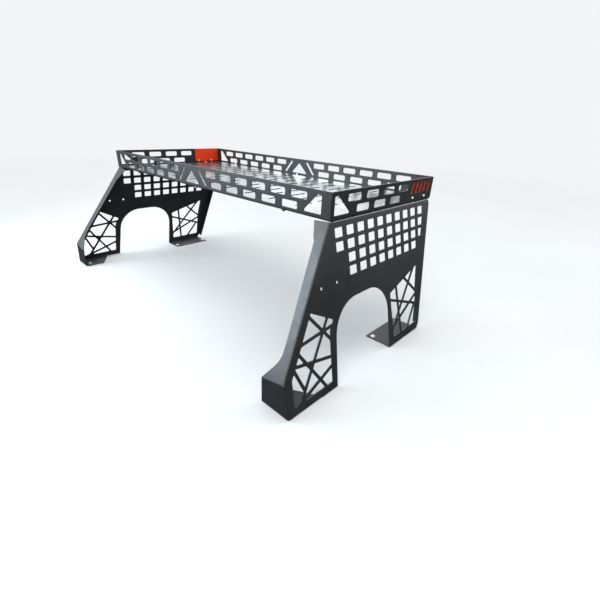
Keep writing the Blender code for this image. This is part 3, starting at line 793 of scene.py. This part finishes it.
# ---- fasteners ------------------------------------------------------------------------------------
def fastener_ring(bm, kind, radius, z, crown):
    """One ring of a fastener: "round", or six-sided, which is "flats".

    A "crown" or "foot" is six-sided too, its corners turned down or up by a cone from crown outwards.
    """
    verts = []
    for k in range(FASTENER_SIDES):
        turn = 2 * pi * k / FASTENER_SIDES
        off_flat = (turn + pi / 6) % (pi / 3) - pi / 6
        size = radius if kind == "round" else radius / cos(off_flat)
        height = z
        if kind in ("crown", "foot"):
            fall = max(0.0, size - crown) * tan(NUT_CONE)
            height = z - fall if kind == "crown" else z + fall
        verts.append(bm.verts.new((size * cos(turn), size * sin(turn), height)))
    return verts


def lofted(name, rings, closed, crown=0.0):
    """A fastener's mesh from its rings. A closed one joins its last ring to its first, as a nut does."""
    bm = bmesh.new()
    loops = [fastener_ring(bm, kind, radius, z, crown) for kind, radius, z in rings]
    pairs = list(zip(loops, loops[1:]))
    if closed:
        pairs.append((loops[-1], loops[0]))
    for lower, upper in pairs:
        for k in range(FASTENER_SIDES):
            after = (k + 1) % FASTENER_SIDES
            bm.faces.new((lower[k], lower[after], upper[after], upper[k]))
    if not closed:
        bm.faces.new(list(reversed(loops[0])))
        bm.faces.new(loops[-1])
    turn_outwards(bm)
    mesh = bpy.data.meshes.new(name)
    bm.to_mesh(mesh)
    mesh.shade_smooth()
    mesh.set_sharp_from_angle(angle=FASTENER_CREASE)
    return mesh


def thread(radius, pitch, low, high):
    """The crests and roots of a screw thread between two heights."""
    turns = max(1, int((high - low) / pitch))
    rings = []
    for k in range(turns):
        rings.append(("round", radius - THREAD_DEPTH * pitch, low + pitch * k))
        rings += [("round", radius, low + pitch * (k + share)) for share in THREAD_CREST]
    return rings


def dome(outer, rim, low, high):
    """The rings of a button head's crown, from its widest to the flat round the socket."""
    turns = [pi / 2 * k / DOME_STEPS for k in range(DOME_STEPS + 1)]
    return [("round", rim + (outer - rim) * cos(t), low + (high - low) * sin(t)) for t in turns]


def bolt_mesh(size, shank):
    """A button-head socket screw: a low dome with a chamfered six-sided socket, its seat at z = 0."""
    radius, head, rise = size["radius"], size["head"] / 2, size["rise"]
    socket, depth = size["socket"] / 2, SOCKET_DEPTH * size["rise"]
    threaded = min(THREAD_LENGTH, shank - PLAIN_SHANK)
    rings = [("round", radius - POINT_TAPER, -shank)]
    rings += thread(radius, size["pitch"], -shank + 2 * CHAMFER, -shank + threaded)
    rings += [("round", radius, -shank + threaded + CHAMFER), ("round", radius, 0)]
    rings += [("round", head - CHAMFER / 2, 0), *dome(head, head * DOME_FLAT, CHAMFER, rise)]
    rings += [("flats", socket + CHAMFER / 2, rise), ("flats", socket, rise - 0.75 * CHAMFER)]
    rings += [("flats", socket, rise - depth), ("round", socket / 5, rise - depth - 1.5 * CHAMFER)]
    return lofted("bolt", rings, closed=False)


def nut_mesh(size):
    """A hexagon nut with both faces turned down at the corners, from z = 0 up."""
    flats = size["nut"] / 2
    crown = flats * NUT_FACE
    bore = size["radius"] + GAP
    rings = [("round", bore, CHAMFER), ("round", bore + CHAMFER, 0), ("round", crown, 0)]
    rings += [("foot", flats, 0), ("crown", flats, NUT_HEIGHT), ("round", crown, NUT_HEIGHT)]
    rings += [("round", bore + CHAMFER, NUT_HEIGHT), ("round", bore, NUT_HEIGHT - CHAMFER)]
    return lofted("nut", rings, closed=True, crown=crown)


def washer_mesh():
    """A stamped washer: its upper edge rolled by the die, its lower edge nearly square."""
    bore, roll = M8["radius"] + GAP, WASHER_ROLL
    edge, top = WASHER_RADIUS, WASHER_THICKNESS
    rings = [("round", bore, 0), ("round", edge - roll / 3, 0), ("round", edge, roll / 3)]
    rings += [("round", edge, top - roll), ("round", edge - roll * 0.3, top - roll * 0.3)]
    rings += [("round", edge - roll, top), ("round", bore + roll, top), ("round", bore, top - roll)]
    return lofted("washer", rings, closed=True)


def fastener_axis(node):
    """The way a fastener's top faces: up, down for a nut under the tray, sideways at the badge."""
    if "badge" in node:
        outwards = 1 if "right" in node else -1
        return Vector((-outwards, 0, 0)) if "nut" in node else Vector((outwards, 0, 0))
    return Vector((0, 0, -1)) if "nut" in node else Vector((0, 0, 1))


def fastener_mesh(node, length):
    """The mesh of the bolt, nut or washer a CAD node stands for, and the height of its top."""
    size = M8 if "foot" in node else M6
    if "nut" in node:
        return nut_mesh(size), NUT_HEIGHT
    if "washer" in node:
        return washer_mesh(), WASHER_THICKNESS
    return bolt_mesh(size, length - size["rise"]), size["rise"]


def fastener(node, finish, spin):
    """A fastener in place of its CAD node, its top at the node's far end."""
    low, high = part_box(node)
    axis = fastener_axis(node)
    length = abs((high - low).dot(axis))
    mesh, height = fastener_mesh(node, length)
    seat = (low + high) / 2 + axis * (length / 2 - height)
    facing = axis.to_track_quat("Z", "Y").to_matrix().to_4x4()
    place = Matrix.Translation(seat) @ facing @ Matrix.Rotation(spin, 4, "Z")
    made = piece(node + "_turned", mesh, finish, place, node)
    edges = made.modifiers.new("broken_edges", "BEVEL")
    edges.width = BROKEN_EDGE
    edges.segments = 2
    edges.limit_method = "ANGLE"
    edges.angle_limit = FASTENER_CREASE


def fasteners(finish):
    """Every bolt, nut and washer of the rack, each turned by its own amount, as a hand tool leaves it."""
    kinds = ("_bolt_", "_nut_", "_washer_")
    wanted = [node for node in sorted(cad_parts) if any(kind in node for kind in kinds)]
    for number, node in enumerate(wanted):
        fastener(node, finish, radians(SPIN_STEP * number % 60))


# ---- finishes -------------------------------------------------------------------------------------
class Nodes:
    """A node tree in the making. Each method adds nodes and returns the socket with their result."""

    def __init__(self, tree):
        self.tree = tree

    def feed(self, value, socket):
        if isinstance(value, bpy.types.NodeSocket):
            self.tree.links.new(value, socket)
        else:
            socket.default_value = value

    def spread(self, value, low, high, to_low=0.0, to_high=1.0):
        made = self.tree.nodes.new("ShaderNodeMapRange")
        self.feed(value, made.inputs["Value"])
        made.inputs["From Min"].default_value = low
        made.inputs["From Max"].default_value = high
        made.inputs["To Min"].default_value = to_low
        made.inputs["To Max"].default_value = to_high
        return made.outputs["Result"]

    def maths(self, operation, a, b):
        made = self.tree.nodes.new("ShaderNodeMath")
        made.operation = operation
        self.feed(a, made.inputs[0])
        self.feed(b, made.inputs[1])
        return made.outputs["Value"]

    def dot(self, a, b):
        made = self.tree.nodes.new("ShaderNodeVectorMath")
        made.operation = "DOT_PRODUCT"
        self.feed(a, made.inputs[0])
        self.feed(b, made.inputs[1])
        return made.outputs["Value"]

    def mix(self, share, a, b):
        made = self.tree.nodes.new("ShaderNodeMix")
        made.data_type = "RGBA"
        self.feed(share, made.inputs["Factor"])
        self.feed(a, made.inputs[MIX_COLOUR_A])
        self.feed(b, made.inputs[MIX_COLOUR_B])
        return made.outputs[MIX_COLOUR_RESULT]


class Finish(Nodes):
    """A surface material built on one Principled shader, patterned in the object's own space."""

    def __init__(self, name, slot):
        self.slot = slot
        self.material = bpy.data.materials.new(name)
        self.material.use_nodes = True
        super().__init__(self.material.node_tree)
        self.shader = self.tree.nodes["Principled BSDF"]
        self.place = self.tree.nodes.new("ShaderNodeTexCoord").outputs["Object"]

    def noise(self, scale, detail=2.0, roughness=0.5, stretch=(1, 1, 1)):
        mapping = self.tree.nodes.new("ShaderNodeMapping")
        mapping.inputs["Scale"].default_value = stretch
        self.feed(self.place, mapping.inputs["Vector"])
        made = self.tree.nodes.new("ShaderNodeTexNoise")
        self.feed(mapping.outputs["Vector"], made.inputs["Vector"])
        made.inputs["Scale"].default_value = scale
        made.inputs["Detail"].default_value = detail
        made.inputs["Roughness"].default_value = roughness
        return made.outputs["Fac"]

    def edges(self, radius):
        """1 on edges sharper than the radius, falling to 0 on open faces."""
        soft = self.tree.nodes.new("ShaderNodeBevel")
        soft.samples = 4
        soft.inputs["Radius"].default_value = radius
        geometry = self.tree.nodes.new("ShaderNodeNewGeometry")
        likeness = self.dot(soft.outputs["Normal"], geometry.outputs["Normal"])
        return self.spread(likeness, 0.98, 0.80)

    def facing_up(self):
        geometry = self.tree.nodes.new("ShaderNodeNewGeometry")
        parts = self.tree.nodes.new("ShaderNodeSeparateXYZ")
        self.feed(geometry.outputs["Normal"], parts.inputs["Vector"])
        return self.spread(parts.outputs["Z"], 0.55, 0.95)

    def bump(self, height, distance, strength=1.0, below=None):
        made = self.tree.nodes.new("ShaderNodeBump")
        made.inputs["Strength"].default_value = strength
        made.inputs["Distance"].default_value = distance
        self.feed(height, made.inputs["Height"])
        if below is not None:
            self.feed(below, made.inputs["Normal"])
        return made.outputs["Normal"]

    def set(self, **inputs):
        for name, value in inputs.items():
            self.feed(value, self.shader.inputs[name.replace("_", " ")])


def powder_coat(name, slot, colours, roughness, peel, dust, coat=0.0):
    """Baked powder paint: two close tones, orange-peel skin, thin pale edges and settled dust."""
    deep, light, worn, dusty = ((*colour, 1) for colour in colours)
    finish = Finish(name, slot)
    clouds = finish.spread(finish.noise(*CLOUDS), 0.35, 0.65)
    specks = finish.spread(finish.noise(*SPECKS), 0.55, 0.75)
    tone = finish.mix(clouds, deep, light)
    tone = finish.mix(finish.maths("MULTIPLY", specks, SPECK_SHARE), tone, worn)
    rubbed = finish.spread(finish.noise(*RUBBING), 0.48, 0.66)
    worn_share = finish.maths("MULTIPLY", rubbed, WEAR_SHARE)
    wear = finish.maths("MULTIPLY", finish.edges(WEAR_RADIUS), worn_share)
    tone = finish.mix(wear, tone, worn)
    settled = finish.spread(finish.noise(*DUST), 0.35, 0.75)
    film = finish.maths("MULTIPLY", finish.facing_up(), finish.maths("MULTIPLY", settled, dust))
    tone = finish.mix(film, tone, dusty)
    uneven = finish.spread(finish.noise(*SHEEN), 0.3, 0.7, roughness - 0.04, roughness + 0.05)
    skin = finish.bump(finish.noise(*PEEL), PEEL_DEPTH, peel)
    waves = finish.bump(finish.noise(*WAVES), WAVE_DEPTH, 0.10, skin)
    dulled = finish.maths("ADD", uneven, finish.maths("MULTIPLY", film, 1.2))
    finish.set(Base_Color=tone, Roughness=dulled, Normal=waves, Metallic=0.0, IOR=PAINT_IOR)
    finish.set(Coat_Weight=coat, Coat_Roughness=COAT_ROUGHNESS)
    return finish


def zinc_plate():
    """Bright zinc plating: a cool metal with brushed scratches and a faint yellow-blue bloom."""
    finish = Finish("bright_zinc", "bright_zinc")
    bloom = finish.spread(finish.noise(*BLOOM), 0.35, 0.65)
    tone = finish.mix(bloom, *ZINC_TONES)
    scratches = finish.noise(*SCRATCHES)
    dull = finish.spread(finish.noise(*TARNISH), 0.3, 0.7, 0.20, 0.36)
    grime = finish.spread(finish.noise(*GRIME), 0.60, 0.80)
    tone = finish.mix(finish.maths("MULTIPLY", grime, GRIME_SHARE), tone, ZINC_GRIME)
    finish.set(Base_Color=tone, Metallic=1.0, Roughness=dull)
    finish.set(Normal=finish.bump(scratches, SCRATCH_DEPTH, 0.5))
    return finish


def pale_floor():
    """A pale painted studio floor with a faint mottle, fading into the backdrop far from the rack."""
    finish = Finish("studio_floor", "")
    mottle = finish.spread(finish.noise(*MOTTLE), 0.3, 0.7)
    tone = finish.mix(mottle, *FLOOR_TONES)
    fine = finish.noise(*GRAIN)
    finish.set(Base_Color=tone, Roughness=0.75, Normal=finish.bump(fine, FLOOR_GRAIN, 0.15))
    distance = finish.tree.nodes.new("ShaderNodeVectorMath")
    distance.operation = "LENGTH"
    finish.feed(finish.place, distance.inputs[0])
    finish.set(Alpha=finish.spread(distance.outputs["Value"], *FLOOR_FADE, 1, 0))
    return finish


# ---- studio ---------------------------------------------------------------------------------------
def studio_floor():
    mesh = bpy.data.meshes.new("studio_floor")
    half = FLOOR_SIZE / 2
    corners = [(-half, -half, 0), (half, -half, 0), (half, half, 0), (-half, half, 0)]
    mesh.from_pydata(corners, [], [(0, 1, 2, 3)])
    mesh.materials.append(pale_floor().material)
    made = bpy.data.objects.new("studio_floor", mesh)
    made.visible_glossy = False
    bpy.context.scene.collection.objects.link(made)


def softbox(name, place, target, size, power, tint=(1, 1, 1)):
    """A large soft light that shows in reflections but not to the camera."""
    light = bpy.data.lights.new(name, "AREA")
    light.shape = "RECTANGLE"
    light.size, light.size_y = size
    light.energy = power
    light.color = tint
    made = bpy.data.objects.new(name, light)
    made.location = place
    made.rotation_euler = (Vector(target) - Vector(place)).to_track_quat("-Z", "Y").to_euler()
    made.visible_camera = False
    bpy.context.scene.collection.objects.link(made)


def studio_light():
    softbox("key_box", (2.6, -4.6, 3.2), LIT_CENTRE, size=(3.0, 2.4), power=180)
    softbox("overhead_box", (0.0, 0.2, 4.2), LIT_CENTRE, size=(4.0, 3.0), power=45)
    softbox("rear_left_box", (-0.9, -1.4, 0.95), RIGHT_FLANGE, size=(1.2, 1.2), power=40, tint=BLUE_SKY)


def sky():
    """A pale backdrop for the camera, and for everything else a soft sky with brighter regions."""
    world = bpy.data.worlds.new("studio")
    bpy.context.scene.world = world
    world.use_nodes = True
    world.node_tree.nodes.clear()
    nodes = Nodes(world.node_tree)
    new = world.node_tree.nodes.new
    direction = new("ShaderNodeTexCoord").outputs["Generated"]
    height = nodes.dot(direction, (0, 0, 1))
    glow = nodes.spread(height, *SKY_HEIGHTS, *SKY_STRENGTHS)
    for towards, inner, outer, strength in SKY_GLOWS:
        likeness = nodes.dot(direction, Vector(towards).normalized())
        patch = nodes.spread(likeness, cos(radians(outer)), cos(radians(inner)), 0, strength)
        glow = nodes.maths("ADD", glow, patch)
    above = nodes.spread(height, *GROUND_LINE, GROUND_SHARE, 1)
    lit = new("ShaderNodeBackground")
    lit.inputs["Color"].default_value = SKY_TINT
    nodes.feed(nodes.maths("MULTIPLY", glow, above), lit.inputs["Strength"])
    seen = new("ShaderNodeBackground")
    seen.inputs["Color"].default_value = BACKDROP
    mix = new("ShaderNodeMixShader")
    nodes.feed(new("ShaderNodeLightPath").outputs["Is Camera Ray"], mix.inputs["Fac"])
    nodes.feed(lit.outputs["Background"], mix.inputs[1])
    nodes.feed(seen.outputs["Background"], mix.inputs[2])
    nodes.feed(mix.outputs["Shader"], new("ShaderNodeOutputWorld").inputs["Surface"])


def camera():
    data = bpy.data.cameras.new("camera")
    data.sensor_width = SENSOR
    data.lens = LENS
    made = bpy.data.objects.new("camera", data)
    made.location = CAMERA_PLACE
    made.rotation_euler = Euler(CAMERA_TURN)
    bpy.context.scene.collection.objects.link(made)
    bpy.context.scene.camera = made


# ---- the scene --------------------------------------------------------------------------------------
def rack():
    powder = powder_coat("black_powder", "black_powder_coat", BLACK, 0.40, 0.35, 0.10)
    glossy = powder_coat("gloss_powder", "gloss_black_powder_coat", BLACK, 0.30, 0.22, 0.06, 0.6)
    bright = powder_coat("orange_powder", "orange_powder_coat", ORANGE, 0.50, 0.30, 0.05)
    bright.set(IOR=ORANGE_IOR)
    zinc = zinc_plate()
    side_panels(powder)
    rails(powder)
    tray_floor(glossy)
    badge_plates(bright)
    knee_welds(powder)
    fasteners(zinc)


bpy.context.scene.view_settings.view_transform = "Standard"
rack()
studio_floor()
studio_light()
sky()
camera()
